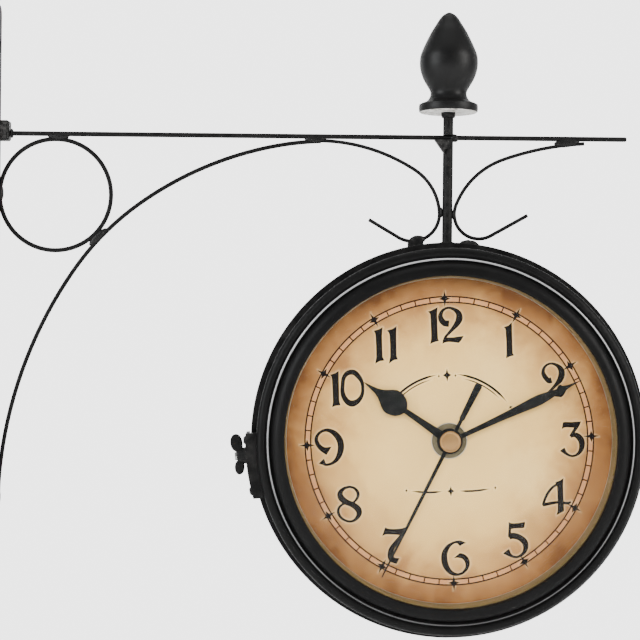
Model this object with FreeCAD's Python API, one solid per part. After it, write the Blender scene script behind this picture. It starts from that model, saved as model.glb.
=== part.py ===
import FreeCAD, Part
import os
import math

# Double sided station clock on a wall bracket.  Millimetres.
# Origin: middle of the wall strip's two screw holes, on its back face.
# +X away from the wall along the bar, -Y the front dial, +Z up.

V = FreeCAD.Vector
os.makedirs("parts", exist_ok=True)

# ---------------------------------------------------------------- dimensions
# wall strip
STRIP_W = 14.0            # width in Y
STRIP_T = 4.0             # thickness in X
STRIP_L = 270.0           # length in Z
SCREW_SPACING = 226.0     # between the two screw holes
SCREW_R = 2.25            # hole radius, for a 4 mm screw
SCREW_HEAD_R = 4.4        # countersink radius

# bracket wires (radii of the round sections)
BAR_Z = 67.0              # height of the bar's centre line
BAR_R = 1.25
BAR_END = 334.0
BRACE_R = 1.10
RING_R = 1.15
RING_CENTRE_R = 29.2
RING_X = STRIP_T + RING_R + RING_CENTRE_R
RING_DROP = 32.0          # ring centre below the bar
SCROLL_R = 0.95
# (radius, turn in degrees) of the tangent arcs, wall direction = 180
BRACE_START_X = 179.5
BRACE_ARCS = [(156.8, 12.2), (180.0, 24.07), (142.0, 19.3), (224.0, 34.43)]
LEFT_START_X = 172.3
JOIN_X = 173.6            # where the brace and the left scroll meet under the bar
LEFT_ARCS = [(94.2, 32.45), (28.8, 53.54), (14.3, 124.5)]
LEFT_TAIL = 18.0
RIGHT_START_X = 311.75
RIGHT_SLOPE = 3.3         # the scroll meets the bar at this angle
RIGHT_ARCS = [(148.8, 16.8), (41.2, 49.4), (12.9, 140.1)]
RIGHT_TAIL = 22.0

# post and finial
POST_X = 240.3
POST_R = 2.65
STUD_R = 2.0              # turned down top of the post, inside the finial
STUD_L = 14.0
NUT_AF = 7.0
NUT_H = 2.7
FINIAL_BASE = 13.2        # above the bar's centre line

# case
HEAD_Z = BAR_Z - 157.1
HEAD_X = POST_X
DRUM_R = 97.0
DRUM_T = 1.0
RIM_R = 101.0
RIM_FRONT = -23.6
RIM_REAR = 23.9
RIM_T = 1.4
SADDLE_T = 1.6

# one face (front values, the rear face is turned half a turn about Z)
BEZEL_R = 97.8
BEZEL_T = 1.2
DOOR_EDGE = -23.9         # rear edge of the bezel
LIP_R = 83.4
GLASS_R = 86.0
GLASS_FRONT = -38.5
GLASS_BACK = -36.5
DIAL_FRONT = -27.5
DIAL_BACK = -26.7
DIAL_HOLE_R = 4.0
HOLDER_IN = 78.0
HOLDER_T = 1.0

# movement
MOVE_W = 56.0
MOVE_D = 14.5
WALL = 1.5
COVER_T = 1.5
BUSH_R = 3.8
BUSH_END = -30.3
RUN = 0.08                # radial running clearance
HOUR_TUBE_R = 2.5
CANNON_R = 1.6
SEC_R = 0.5
M1 = 0.50                 # module cannon pinion / motion wheel
M2 = 0.48                 # module motion pinion / hour wheel
T_CANNON, T_MOTION, T_PINION, T_HOUR = 12, 36, 10, 40
AXES = M1 * (T_CANNON + T_MOTION) / 2.0   # 12 mm, arbor above the hands' centre
BAT_R = 7.1
BAT_L = 50.5

# hands: degrees clockwise from 12 as the front shows them
HOUR_DEG = 303.9
MIN_DEG = 64.4
SEC_DEG = 206.2

# hinge and latch
HINGE_X = 104.4           # from the head's centre
HINGE_Y = -23.75
KNUCKLE_R = 2.3
PIN_R = 1.0
LATCH_DROP = 5.1          # degrees below the middle
STUD_Y = -18.5
LATCH_STUD_R = 2.0
STRAP_IN = 101.9
STRAP_OUT = 103.4
NUT_IN = 104.0
NUT_OUT = 108.5

C = V(HEAD_X, 0, HEAD_Z)


# ---------------------------------------------------------------- helpers
def out(name, shape):
    if len(shape.Solids) == 1:
        shape = shape.Solids[0]
    shape.exportStep("parts/%s.step" % name)


def box(x0, x1, y0, y1, z0, z1):
    return Part.makeBox(x1 - x0, y1 - y0, z1 - z0, V(x0, y0, z0))


def cyl_y(r, y0, y1, x=0.0, z=0.0):
    return Part.makeCylinder(r, y1 - y0, V(x, y0, z), V(0, 1, 0))


def clean(s):
    s = s.removeSplitter()
    return s


def revolve_y(points, centre=C):
    """Profile of (radius, y) points turned about the head's Y axis."""
    w = []
    n = len(points)
    prev = None
    verts = []
    edges = []
    i = 0
    # a point may be ('arc', r, y): the middle point of an arc to the next one
    pts = points + [points[0]]
    cur = pts[0]
    k = 1
    while k < len(pts):
        p = pts[k]
        if p[0] == 'arc':
            nxt = pts[k + 1]
            edges.append(Part.Arc(V(cur[0], cur[1], 0), V(p[1], p[2], 0), V(nxt[0], nxt[1], 0)).toShape())
            cur = nxt
            k += 2
        else:
            edges.append(Part.LineSegment(V(cur[0], cur[1], 0), V(p[0], p[1], 0)).toShape())
            cur = p
            k += 1
    f = Part.Face(Part.Wire(edges))
    s = f.revolve(V(0, 0, 0), V(0, 1, 0), 360)
    s.translate(centre)
    return s


def revolve_z(points, x, z):
    edges = []
    pts = points + [points[0]]
    for a, b in zip(pts[:-1], pts[1:]):
        edges.append(Part.LineSegment(V(a[0], 0, a[1]), V(b[0], 0, b[1])).toShape())
    s = Part.Face(Part.Wire(edges)).revolve(V(0, 0, 0), V(0, 0, 1), 360)
    s.translate(V(x, 0, z))
    return s


def plate(points, y0, y1, centre=C):
    """Flat outline (x, z) extruded along Y."""
    vs = [V(p[0], y0, p[1]) for p in points]
    vs.append(vs[0])
    f = Part.Face(Part.makePolygon(vs))
    s = f.extrude(V(0, y1 - y0, 0))
    s.translate(centre)
    return s


def sweep(x, z, heading, segs, r):
    """Round wire through tangent arcs: (radius or None, turn or length)."""
    p = V(x, 0, z)
    h = math.radians(heading)
    edges = []
    for rad, a in segs:
        if rad is None:
            q = p + V(math.cos(h) * a, 0, math.sin(h) * a)
            edges.append(Part.LineSegment(p, q).toShape())
            p = q
            continue
        t = math.radians(a)
        sg = 1.0 if t > 0 else -1.0
        nrm = V(-math.sin(h) * sg, 0, math.cos(h) * sg)
        cen = p + nrm * rad

        def at(u):
            v = p - cen
            c, s = math.cos(u), math.sin(u)
            return cen + V(v.x * c - v.z * s, 0, v.x * s + v.z * c)
        mid, q = at(t / 2), at(t)
        edges.append(Part.Arc(p, mid, q).toShape())
        p = q
        h += t
    wire = Part.Wire(edges)
    h0 = math.radians(heading)
    circ = Part.Wire([Part.Circle(V(x, 0, z), V(math.cos(h0), 0, math.sin(h0)), r).toShape()])
    s = wire.makePipeShell([circ], True, False)
    tip = Part.makeSphere(r, p)
    return s, p, math.degrees(h), wire


def blob(x, z, ax, ay, az, turn=0.0, y=0.0):
    """Rounded lump with half sizes ax, ay, az."""
    s = box(-ax, ax, -ay, ay, -az, az)
    s = s.makeFillet(0.82 * min(ax, ay, az), s.Edges)
    s.rotate(V(0, 0, 0), V(0, 1, 0), -turn)
    s.translate(V(x, y, z))
    return s


def gear(teeth, module, y0, y1, phase=0.0, add=0.80, ded=1.15, frac=0.40, tip=0.20):
    rp = teeth * module / 2.0
    ro = rp + add * module
    ri = rp - ded * module
    pitch = 2 * math.pi / teeth
    wi = min((frac + (frac - tip) * ded / add), 0.92) * pitch / 2
    wt = tip * pitch / 2
    pts = []
    for k in range(teeth):
        a = phase + k * pitch
        for da, r in ((-wi, ri), (-wt, ro), (wt, ro), (wi, ri)):
            pts.append((r * math.sin(a + da), r * math.cos(a + da)))
    return plate(pts, y0, y1, V(0, 0, 0))


def hexagon(af, turn=0.0):
    r = af / math.sqrt(3.0)
    return [(r * math.cos(math.radians(turn + 60 * i)), r * math.sin(math.radians(turn + 60 * i))) for i in range(6)]


def blade(outline, deg, y0, y1, boss_r, hole_r, y_hole=None):
    """Hand: half outline (distance out, half width), mirrored, with a boss."""
    pts = [(w, d) for d, w in outline] + [(-w, d) for d, w in reversed(outline) if w > 1e-6]
    s = plate(pts, y0, y1, V(0, 0, 0))
    s = s.fuse(cyl_y(boss_r, y0, y1))
    s = s.cut(cyl_y(hole_r, y0 - 1, y1 + 1))
    s = clean(s)
    s.rotate(V(0, 0, 0), V(0, 1, 0), deg)
    return s


# ---------------------------------------------------------------- bracket
strip = box(0, STRIP_T, -STRIP_W / 2, STRIP_W / 2, -STRIP_L / 2, STRIP_L / 2)
strip = strip.makeFillet(5.0, [e for e in strip.Edges
                               if abs(e.BoundBox.XLength - STRIP_T) < 1e-6 and e.Length < STRIP_T + 1e-6])
for z in (-SCREW_SPACING / 2, SCREW_SPACING / 2):
    strip = strip.cut(Part.makeCylinder(SCREW_R, STRIP_T + 2, V(-1, 0, z), V(1, 0, 0)))
    strip = strip.cut(Part.makeCone(SCREW_R, SCREW_HEAD_R, 2.15, V(STRIP_T - 2.15, 0, z), V(1, 0, 0)))
strip = strip.makeChamfer(0.4, [e for e in strip.Edges
                                if abs(e.BoundBox.XMin - STRIP_T) < 1e-6 and abs(e.BoundBox.XMax - STRIP_T) < 1e-6
                                and e.Length > 200])
out("wall_bar", strip)

bar = Part.makeCylinder(BAR_R, BAR_END - STRIP_T - 0.6, V(STRIP_T, 0, BAR_Z), V(1, 0, 0))
bar = bar.fuse(Part.makeCone(BAR_R, BAR_R - 0.5, 0.6, V(BAR_END - 0.6, 0, BAR_Z), V(1, 0, 0)))
bar = clean(bar)
out("horizontal_bar", bar)

socket = box(STRIP_T, STRIP_T + 6.2, -4.2, 4.2, BAR_Z - 3.9, BAR_Z + 6.6)
socket = socket.makeFillet(1.3, [e for e in socket.Edges if e.BoundBox.XMin > STRIP_T + 1.0 or e.BoundBox.XLength > 3])
socket = socket.cut(Part.makeCylinder(BAR_R, 20, V(STRIP_T - 1, 0, BAR_Z), V(1, 0, 0)))
out("bar_socket", socket)

brace, pb, hb, brace_wire = sweep(BRACE_START_X, BAR_Z - BAR_R - BRACE_R, 180.0, BRACE_ARCS, BRACE_R)
brace = brace.common(box(-20, JOIN_X, -5, 5, -200, 80))
out("arch_brace", brace)

ring = Part.makeTorus(RING_CENTRE_R, RING_R, V(RING_X, 0, BAR_Z - RING_DROP), V(0, 1, 0))
out("corner_ring", ring)

left, pl, hl, left_wire = sweep(LEFT_START_X, BAR_Z - BAR_R - SCROLL_R, 0.0,
                                [(r, -a) for r, a in LEFT_ARCS] + [(None, LEFT_TAIL)], SCROLL_R)
right, pr, hr, right_wire = sweep(RIGHT_START_X, BAR_Z - BAR_R - SCROLL_R - 0.24, 180.0 + RIGHT_SLOPE,
                                  RIGHT_ARCS + [(None, RIGHT_TAIL)], SCROLL_R)
# brace and left scroll meet end to end inside their weld
left = left.common(box(JOIN_X, 260, -5, 5, -60, 80))
left_start = BAR_Z - BAR_R - SCROLL_R

out("left_scroll", left)
out("right_scroll", right)

POST_BOTTOM = HEAD_Z + DRUM_R + SADDLE_T
post_top = BAR_Z + FINIAL_BASE
post = Part.makeCylinder(POST_R, post_top - POST_BOTTOM, V(POST_X, 0, POST_BOTTOM))
post = post.fuse(Part.makeCylinder(STUD_R, STUD_L, V(POST_X, 0, post_top)))
notch = Part.makeCylinder(BAR_R, 20, V(POST_X - 10, 0, BAR_Z), V(1, 0, 0))
notch = notch.fuse(box(POST_X - 10, POST_X + 10, -6, 0, BAR_Z - BAR_R, BAR_Z + BAR_R))
post = clean(post.cut(notch))
out("hanger_post", post)

# small corner plate under the bar, folded round the front of the post
gx = POST_X - POST_R
gusset = plate([(gx + 0.6, BAR_Z - BAR_R), (gx - 4.6, BAR_Z - BAR_R), (gx + 0.6, BAR_Z - 8.6)], -3.7, 0.9, V(0, 0, 0))
gusset = gusset.fuse(plate([(gx - 2.6, BAR_Z - BAR_R), (POST_X + 2.5, BAR_Z - BAR_R), (POST_X + 1.6, BAR_Z - 5.6),
                            (gx + 0.4, BAR_Z - 6.6)], -3.7, -2.65 + 0.6, V(0, 0, 0)))
gusset = gusset.cut(Part.makeCylinder(POST_R, 40, V(POST_X, 0, BAR_Z - 20)))
gusset = gusset.cut(Part.makeCylinder(BAR_R, 40, V(POST_X - 20, 0, BAR_Z), V(1, 0, 0)))
gusset = max(clean(gusset).Solids, key=lambda s: s.Volume)
out("post_gusset", gusset)

nut = plate(hexagon(NUT_AF, 30), -5, 5, V(0, 0, 0))
nut = Part.Face(Part.makePolygon([V(x, y, 0) for x, y in hexagon(NUT_AF, 20)] +
                                 [V(hexagon(NUT_AF, 20)[0][0], hexagon(NUT_AF, 20)[0][1], 0)])).extrude(V(0, 0, NUT_H))
nut = nut.common(Part.makeCone(NUT_AF / 2 - 0.2, NUT_AF / 2 + 1.6, NUT_H, V(0, 0, 0)).fuse(
    Part.makeCylinder(0.1, NUT_H)))
nut.translate(V(POST_X, 0, post_top - NUT_H))
nut = clean(nut.cut(Part.makeCylinder(POST_R, 60, V(POST_X, 0, post_top - 30))))
out("finial_nut", nut)

# turned finial: (height above its base, radius)
FIN = [(0.0, 14.7), (0.5, 15.3), (2.3, 15.5), (4.1, 15.3), (4.8, 14.0), (5.4, 12.4), (6.3, 11.0), (7.6, 10.1),
       (9.2, 9.5), (10.9, 9.6), (12.6, 10.4), (14.6, 11.6), (17.2, 13.1), (20.2, 14.3), (23.6, 15.1), (26.6, 15.25),
       (29.4, 15.0), (32.0, 14.2), (34.6, 13.1), (37.4, 11.8), (40.2, 10.4), (43.2, 8.8), (46.2, 6.9), (49.2, 5.0),
       (51.0, 3.4), (52.0, 1.9)]
bs = Part.BSplineCurve()
bs.interpolate([V(r, 0, z) for z, r in FIN[4:]])
prof = [Part.LineSegment(V(STUD_R, 0, 0), V(FIN[0][1], 0, 0)).toShape(),
        Part.LineSegment(V(FIN[0][1], 0, 0), V(FIN[1][1], 0, FIN[1][0])).toShape(),
        Part.Arc(V(FIN[1][1], 0, FIN[1][0]), V(FIN[2][1], 0, FIN[2][0]), V(FIN[3][1], 0, FIN[3][0])).toShape(),
        Part.LineSegment(V(FIN[3][1], 0, FIN[3][0]), V(FIN[4][1], 0, FIN[4][0])).toShape(),
        bs.toShape(),
        Part.LineSegment(V(FIN[-1][1], 0, FIN[-1][0]), V(1.0, 0, 52.5)).toShape(),
        Part.LineSegment(V(1.0, 0, 52.5), V(0, 0, 52.6)).toShape(),
        Part.LineSegment(V(0, 0, 52.6), V(0, 0, STUD_L)).toShape(),
        Part.LineSegment(V(0, 0, STUD_L), V(STUD_R, 0, STUD_L)).toShape(),
        Part.LineSegment(V(STUD_R, 0, STUD_L), V(STUD_R, 0, 0)).toShape()]
finial = Part.Face(Part.Wire(prof)).revolve(V(0, 0, 0), V(0, 0, 1), 360)
finial.translate(V(POST_X, 0, post_top))
out("finial", finial)

# ---------------------------------------------------------------- case
drum = revolve_y([(DRUM_R - DRUM_T, RIM_FRONT), (RIM_R - 0.5, RIM_FRONT), ('arc', RIM_R - 0.15, RIM_FRONT + 0.2),
                  (RIM_R, RIM_FRONT + 0.7), (RIM_R, RIM_FRONT + RIM_T + 0.6), (RIM_R - 0.9, RIM_FRONT + RIM_T + 0.6),
                  (RIM_R - 0.9, RIM_FRONT + RIM_T), (DRUM_R, RIM_FRONT + RIM_T),
                  (DRUM_R, RIM_REAR - RIM_T), (RIM_R - 0.9, RIM_REAR - RIM_T), (RIM_R - 0.9, RIM_REAR - RIM_T - 0.6),
                  (RIM_R, RIM_REAR - RIM_T - 0.6), (RIM_R, RIM_REAR - 0.7), ('arc', RIM_R - 0.15, RIM_REAR - 0.2),
                  (RIM_R - 0.5, RIM_REAR), (DRUM_R - DRUM_T, RIM_REAR)])
drum_hole = Part.makeCylinder(1.6, 20, V(-DRUM_R - 10, STUD_Y, 0), V(1, 0, 0))


def latch(s):
    """From the local latch frame (pointing at -X, level) to its place."""
    s = s.copy()
    s.rotate(V(0, 0, 0), V(0, 1, 0), -LATCH_DROP)
    s.translate(C)
    return s


drum = drum.cut(latch(drum_hole))
out("case_drum", drum)

sad = Part.makeCylinder(DRUM_R + SADDLE_T, 18.0, V(0, -9.0, 0), V(0, 1, 0))
sad = sad.cut(Part.makeCylinder(DRUM_R, 30.0, V(0, -15.0, 0), V(0, 1, 0)))
wedge = plate([(0, 0), (-34.0, 120), (34.0, 120)], -15, 15, V(0, 0, 0))
sad = sad.common(wedge)
boss = Part.makeCone(6.6, 3.4, 5.0, V(0, 0, DRUM_R + 0.3))
lugs = box(-20.6, -12.6, -3.0, 3.0, 90, 103.2)
body = sad.fuse([boss, lugs])
body = body.cut(Part.makeCylinder(DRUM_R, 60.0, V(0, -30.0, 0), V(0, 1, 0)))
body = body.cut(Part.makeCylinder(POST_R, 20.0, V(0, 0, DRUM_R + SADDLE_T)))
body.translate(C)
pocket_l = left_wire.makePipeShell([Part.Wire([Part.Circle(V(LEFT_START_X, 0, left_start), V(1, 0, 0), SCROLL_R + 0.02).toShape()])], True, False)
saddle = clean(body.cut(pocket_l))
saddle = max(saddle.Solids, key=lambda s: s.Volume)
out("case_saddle", saddle)

# weld lumps: rounded blocks with everything they join taken out of them
top = BAR_Z
W = [blob(170.5, top - 1.4, 6.2, 1.7, 2.2, 2),
     blob(302.6, top - 1.9, 7.4, 1.7, 2.5, 5),
     blob(35.7, top - 1.4, 6.0, 1.8, 2.2),
     blob(57.0, top - 53.9, 6.8, 1.9, 2.2, 44),
     blob(5.6, top - RING_DROP + 0.6, 1.6, 2.6, 4.6),
     blob(5.6, top - 191.0, 1.6, 2.2, 5.6),
     blob(POST_X + POST_R + 0.6, top - 0.2, 2.6, 2.2, 2.1, -6),
     blob(POST_X - 3.1, top - 39.2, 1.3, 1.4, 3.0, 3),
     blob(POST_X + 3.0, top - 40.4, 1.2, 1.4, 3.0, 2),
     blob(POST_X - 15.6, top - 54.0, 4.6, 2.2, 2.4, 12),
     Part.makeCone(2.7, 1.8, 1.9, V(STRIP_T + 6.2, 0, top), V(1, 0, 0))]
tools = [strip, bar, socket, brace, ring, left, right, post, gusset, saddle, drum]
beads = []
for b in W:
    near = [t for t in tools if t.BoundBox.intersect(b.BoundBox)]
    for dx, dz in ((0, 0), (0.12, 0.07), (-0.13, 0.09), (0.17, -0.11), (-0.19, -0.13), (0.05, 0.21), (-0.07, -0.23)):
        c = b.translated(V(dx, 0.03 * (dx != 0), dz)).cut(near)
        keep = [s for s in c.Solids if s.Volume > 0.8]
        if keep and all(s.isValid() for s in keep):
            break
    beads.extend(keep)
# the big lump between the right scroll, the post's foot and the saddle
big = box(5.6, 17.4, -3.3, 3.3, 96.2, 103.6)
big = big.makeFillet(2.7, big.Edges)
big.rotate(V(11.5, 0, 99.0), V(0, 1, 0), 7)
big.translate(C)
plain = Part.makeCylinder(DRUM_R + SADDLE_T, 40.0, V(HEAD_X, -20.0, HEAD_Z), V(0, 1, 0))
foot = Part.makeCone(6.6, 3.4, 5.0, C + V(0, 0, DRUM_R + 0.3))
big = big.cut(plain).cut(foot).cut(right)
beads.append(max(big.Solids, key=lambda s: s.Volume))
beads = Part.makeCompound(beads)
out("weld_beads", beads)

# ---------------------------------------------------------------- one face
def face(front):
    pre = "front_" if front else "rear_"

    def put(name, s):
        if not front:
            s = s.copy()
            s.rotate(V(HEAD_X, 0, 0), V(0, 0, 1), 180)
        out(pre + name, s)
        return s

    bezel = revolve_y([
        (BEZEL_R, DOOR_EDGE), (BEZEL_R, -34.4), ('arc', 96.9, -36.7), (94.7, -37.6),
        (93.9, -37.5), (93.1, -36.8), (92.2, -37.5), (91.75, -38.4), (91.3, -37.9), (90.7, -37.2), (90.1, -38.0),
        ('arc', 87.4, -40.7), (84.3, -41.3), ('arc', 83.6, -41.1), (LIP_R, -40.5),
        (LIP_R, GLASS_FRONT), (GLASS_R, GLASS_FRONT), (GLASS_R, GLASS_BACK), (90.6, -35.9), (94.2, -35.9),
        ('arc', 95.9, -35.2), (BEZEL_R - BEZEL_T, -33.6), (BEZEL_R - BEZEL_T, DOOR_EDGE)])
    put("bezel", bezel)
    glass = cyl_y(GLASS_R, GLASS_FRONT, GLASS_BACK, HEAD_X, HEAD_Z)
    put("glass", glass)
    inner = revolve_y([(GLASS_R, GLASS_BACK), (83.3, GLASS_BACK), (83.2, -35.9), (83.0, -28.2), (82.9, DIAL_FRONT),
                       (GLASS_R, DIAL_FRONT)])
    put("inner_ring", inner)
    dial = cyl_y(GLASS_R, DIAL_FRONT, DIAL_BACK, HEAD_X, HEAD_Z).cut(
        cyl_y(DIAL_HOLE_R, DIAL_FRONT - 1, DIAL_BACK + 1, HEAD_X, HEAD_Z))
    put("dial", dial)
    hold = revolve_y([(HOLDER_IN, DIAL_BACK), (BEZEL_R - BEZEL_T, DIAL_BACK), (BEZEL_R - BEZEL_T, DIAL_BACK + 2.4),
                      (BEZEL_R - BEZEL_T - 1.0, DIAL_BACK + 2.4), (BEZEL_R - BEZEL_T - 1.0, DIAL_BACK + HOLDER_T),
                      (HOLDER_IN, DIAL_BACK + HOLDER_T)])
    put("retaining_ring", hold)

    # movement: y from the dial's back into the case
    y0 = DIAL_BACK
    y1 = y0 + MOVE_D
    h = MOVE_W / 2
    house = box(-h, h, y0, y1, -h, h)
    house = house.makeFillet(2.0, [e for e in house.Edges if abs(e.BoundBox.YLength - MOVE_D) < 1e-6])
    house = house.cut(box(-h + WALL, h - WALL, y0 + WALL, y1 + 1, -10.8, h - WALL))
    house = house.cut(box(-BAT_L / 2, BAT_L / 2, y0 + WALL, y1 + 1, -h + 1.6, -12.0))
    house = house.fuse(cyl_y(BUSH_R, BUSH_END, y0 + 1))
    house = house.cut(cyl_y(HOUR_TUBE_R + RUN, BUSH_END - 1, y0 + WALL + 1))
    house = clean(house)
    house.translate(C)
    put("movement_housing", house)

    cover = box(-h, h, y1, y1 + COVER_T, -h, h)
    cover = cover.makeFillet(2.0, [e for e in cover.Edges if abs(e.BoundBox.YLength - COVER_T) < 1e-6])
    cover = cover.cut(box(-BAT_L / 2, BAT_L / 2, y1 - 1, y1 + COVER_T + 1, -h + 1.6, -12.0))
    cover = cover.fuse(cyl_y(2.6, y1 - 3.2, y1 + 0.2))
    cover = cover.cut(cyl_y(SEC_R + RUN, y1 - 4, y1 - 0.4))
    cover = cover.fuse(cyl_y(2.2, y1 - 2.6, y1 + 0.2, 0, AXES))
    cover = cover.cut(cyl_y(0.8 + RUN, y1 - 4, y1 + COVER_T + 1, 0, AXES))
    cover = clean(cover)
    cover.translate(C)
    put("movement_cover", cover)

    yb = y0 + WALL + 0.2 + BAT_R
    bat = Part.makeCylinder(BAT_R, BAT_L - 1.2, V(-BAT_L / 2, yb, -19.2), V(1, 0, 0))
    bat = bat.makeFillet(0.6, bat.Edges[0:1] + bat.Edges[2:3])
    bat = bat.fuse(Part.makeCylinder(2.6, 1.2, V(BAT_L / 2 - 1.2, yb, -19.2), V(1, 0, 0)))
    bat = clean(bat)
    bat.translate(C)
    put("battery", bat)

    motor = box(-26.0, -12.6, y0 + WALL, y0 + WALL + 1.0, -9.6, 24.0)
    motor = motor.fuse(box(-21.4, -16.6, y0 + WALL, y0 + WALL + 7.6, -8.6, -6.2))
    motor = motor.fuse(box(-21.4, -16.6, y0 + WALL, y0 + WALL + 7.6, 16.2, 18.6))
    motor = motor.fuse(Part.makeCylinder(3.1, 22.6, V(-19.0, y0 + WALL + 4.6, -6.3)))
    motor = motor.fuse(box(-25.4, -13.4, y0 + WALL, y0 + WALL + 2.4, 20.2, 23.2))
    motor = clean(motor)
    motor.translate(C)
    put("step_motor", motor)

    washer = cyl_y(8.8, DIAL_FRONT - 0.5, DIAL_FRONT).cut(cyl_y(BUSH_R, -40, 0))
    washer.translate(C)
    put("dial_washer", washer)
    mnut = plate(hexagon(11.4, 12), DIAL_FRONT - 2.3, DIAL_FRONT - 0.5, V(0, 0, 0)).cut(cyl_y(BUSH_R, -40, 0))
    mnut.translate(C)
    put("mounting_nut", mnut)

    # motion work; tooth phases set so that the wheels mesh at rest
    hw = gear(T_HOUR, M2, -24.6, -23.6, math.pi / T_HOUR)
    hw = hw.fuse(cyl_y(HOUR_TUBE_R, -31.7, -24.0)).cut(cyl_y(CANNON_R + RUN, -40, 0))
    hw = clean(hw)
    hw.translate(C)
    put("hour_wheel", hw)
    cp = gear(T_CANNON, M1, -22.6, -21.2, 0.0)
    cp = cp.fuse(cyl_y(CANNON_R, -33.3, -20.9)).cut(cyl_y(SEC_R + RUN, -40, 0))
    cp = clean(cp)
    cp.translate(C)
    put("cannon_pinion", cp)
    mw = gear(T_MOTION, M1, -22.4, -21.4, math.pi + math.pi / T_MOTION)
    mw = mw.fuse(gear(T_PINION, M2, -24.8, -22.3, math.pi))
    mw = mw.fuse(cyl_y(0.8, -25.1, -8.6))
    mw = clean(mw)
    mw.translate(C + V(0, 0, AXES))
    put("motion_wheel", mw)
    knob = cyl_y(5.0, -10.4, -7.9)
    for i in range(18):
        a = 2 * math.pi * i / 18
        knob = knob.cut(cyl_y(0.45, -10.3, -7.0, 5.05 * math.cos(a), 5.05 * math.sin(a)))
    knob = knob.cut(cyl_y(0.8, -12, -8.6))
    knob.translate(C + V(0, 0, AXES))
    put("setting_knob", knob)
    sa = cyl_y(SEC_R, -34.6, -13.0).fuse(gear(30, 0.42, -18.6, -17.8, 0.0))
    sa = clean(sa)
    sa.translate(C)
    put("second_arbor", sa)

    # hands
    hour = blade([(0, 1.3), (6, 2.2), (15, 1.75), (27.2, 1.35), (27.8, 2.6), (28.8, 4.0), (30.2, 5.2), (32.2, 6.1),
                  (34.5, 6.55), (36.5, 6.35), (38.5, 5.3), (40.5, 3.8), (42.5, 2.5), (45, 1.5), (48, 0.9),
                  (53.5, 0.0)], HOUR_DEG, -31.4, -30.7, 6.5, HOUR_TUBE_R)
    hour.translate(C)
    put("hour_hand", hour)
    minute = blade([(0, 1.2), (8, 1.2), (20, 1.4), (30, 1.7), (38, 2.1), (46, 2.6), (50, 2.65), (54, 2.2), (58, 1.55),
                    (60, 1.3), (61.4, 2.5), (62.6, 2.6), (63.4, 1.5), (66, 0.8), (73.8, 0.0)], MIN_DEG,
                   -33.0, -32.4, 5.2, CANNON_R)
    minute.translate(C)
    put("minute_hand", minute)
    sec = plate([(1.0, 0), (0.85, 30), (0.85, 40), (0.6, 60), (0.3, 76.6), (-0.3, 76.6), (-0.6, 60), (-0.85, 40),
                 (-0.85, 30), (-1.0, 0)], -34.5, -34.1, V(0, 0, 0))
    sec = sec.fuse(plate([(0.9, 0), (0.9, -12), (1.35, -13), (1.5, -20), (1.75, -28), (1.9, -31.5), (1.4, -32.6),
                          (-1.4, -32.6), (-1.9, -31.5), (-1.75, -28), (-1.5, -20), (-1.35, -13), (-0.9, -12),
                          (-0.9, 0)], -34.5, -34.1, V(0, 0, 0)))
    cap = revolve_y([(0, -34.1), (5.2, -34.1), (5.2, -34.55), (4.7, -34.95), (3.9, -34.85), (2.4, -35.2), (0, -35.35)],
                    V(0, 0, 0))
    sec = sec.fuse(cap).cut(cyl_y(SEC_R, -34.6, -30))
    sec = clean(sec)
    sec.rotate(V(0, 0, 0), V(0, 1, 0), SEC_DEG)
    sec.translate(C)
    put("second_hand", sec)


face(True)
face(False)

# ---------------------------------------------------------------- hinge (side away from the latch)
HX = HEAD_X + HINGE_X


def vcyl(r, z0, z1):
    return Part.makeCylinder(r, z1 - z0, V(HX, HINGE_Y, HEAD_Z + z0))


def arc_leaf(r0, r1, y0, y1, z0, z1):
    s = cyl_y(r1, y0, y1).cut(cyl_y(r0, y0 - 1, y1 + 1))
    s = s.common(box(80, 120, y0 - 1, y1 + 1, z0, z1))
    s.translate(C)
    return s


# door leaf: foot on the bezel's side wall, middle knuckle
door_leaf = arc_leaf(BEZEL_R, BEZEL_R + 1.2, -33.5, -24.6, -12.0, 12.0)
door_leaf = door_leaf.fuse(box(HEAD_X + 98.0, HX, HINGE_Y - KNUCKLE_R, HINGE_Y - KNUCKLE_R + 1.3, HEAD_Z - 4.6,
                               HEAD_Z + 4.6))
door_leaf = door_leaf.fuse(vcyl(KNUCKLE_R, -4.6, 4.6))
door_leaf = door_leaf.cut(vcyl(PIN_R + RUN, -20, 20))
door_leaf = door_leaf.cut(cyl_y(BEZEL_R, -60, -23.9, HEAD_X, HEAD_Z))
door_leaf = clean(door_leaf)
out("door_leaf", door_leaf)

# case leaf: foot on the drum behind the rim, two outer knuckles
case_leaf = arc_leaf(DRUM_R, DRUM_R + 1.2, -20.8, -8.0, -12.0, 12.0)
for z0, z1 in ((-12.0, -4.9), (4.9, 12.0)):
    arm = box(98.0, HINGE_X, HINGE_Y, HINGE_Y + KNUCKLE_R, z0, z1)
    arm = box(RIM_R + 0.05, HINGE_X + 0.3, HINGE_Y, HINGE_Y + KNUCKLE_R, z0, z1)
    arm = arm.fuse(box(RIM_R + 0.05, RIM_R + 1.35, HINGE_Y + 0.2, -18.6, z0, z1))
    arm = arm.fuse(box(96.5, RIM_R + 1.35, -20.6, -18.6, z0, z1))
    arm = arm.cut(cyl_y(DRUM_R, -60, 60))
    arm.translate(C)
    case_leaf = case_leaf.fuse(arm)
    case_leaf = case_leaf.fuse(vcyl(KNUCKLE_R, z0, z1))
case_leaf = case_leaf.cut(vcyl(PIN_R, -20, 20))
case_leaf = case_leaf.cut(drum)
case_leaf = max(clean(case_leaf).Solids, key=lambda s: s.Volume)
out("case_leaf", case_leaf)

pin = vcyl(PIN_R, -12.6, 12.6).fuse(vcyl(1.7, 12.0, 13.2))
out("hinge_pin", clean(pin))

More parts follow.
